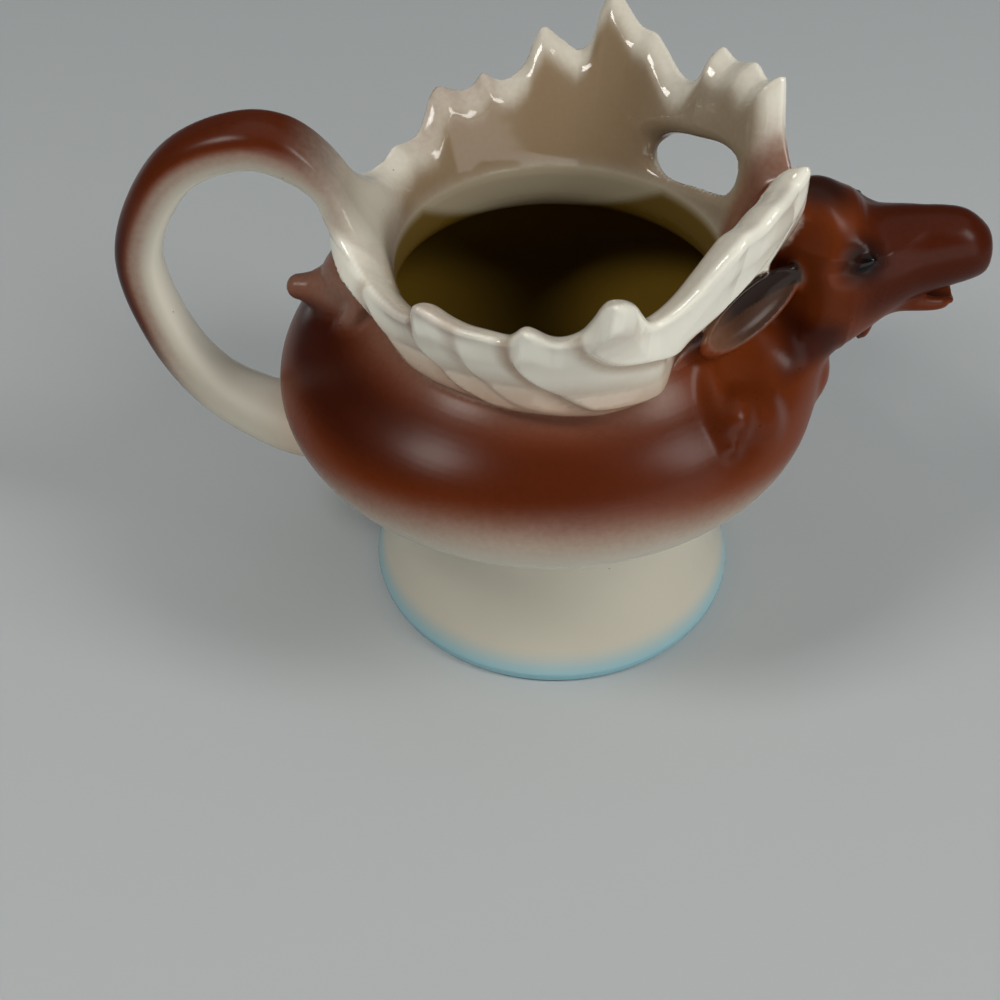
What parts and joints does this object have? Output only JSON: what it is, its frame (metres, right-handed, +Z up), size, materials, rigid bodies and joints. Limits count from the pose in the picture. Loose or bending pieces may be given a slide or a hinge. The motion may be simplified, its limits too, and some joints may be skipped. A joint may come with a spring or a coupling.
{
  "type": "elk creamer",
  "caption": "Glazed ceramic cream jug shaped as an elk: bulb on a waisted foot, antlers crowning the mouth, the hollow head as spout, a loop handle behind.",
  "frame": {"origin": "on the table, under the middle of the jug's length and width", "axes": "+X towards the elk's muzzle, +Y to the elk's left, +Z up"},
  "size_m": [0.1632, 0.1054, 0.108],
  "materials": {
    "glaze_foot": "gloss, cream fading to sky blue at the lip",
    "glaze_chestnut": "gloss, airbrushed chestnut over cream",
    "glaze_ivory": "gloss, ivory with tan in the folds",
    "glaze_cream": "gloss, cream shaded with chestnut along the back",
    "glaze_dark_brown": "gloss, dark red brown",
    "glaze_black": "high gloss black"
  },
  "bodies": {
    "root": {"foot": "glaze_foot", "bowl": "glaze_chestnut", "rim_collar": "glaze_ivory", "handle": "glaze_cream", "head": "glaze_dark_brown", "neck": "glaze_chestnut", "lower_jaw": "glaze_dark_brown", "poll_crest": "glaze_dark_brown", "beard": "glaze_dark_brown", "rear_tuft": "glaze_chestnut", "left_antler": "glaze_ivory", "left_ear": "glaze_chestnut", "left_eye": "glaze_black", "left_neck_lock": "glaze_chestnut", "left_chest_lock": "glaze_chestnut", "left_mane_lock": "glaze_chestnut", "right_antler": "glaze_ivory", "right_ear": "glaze_chestnut", "right_eye": "glaze_black", "right_neck_lock": "glaze_chestnut", "right_chest_lock": "glaze_chestnut", "right_mane_lock": "glaze_chestnut"}
  },
  "joints": []
}
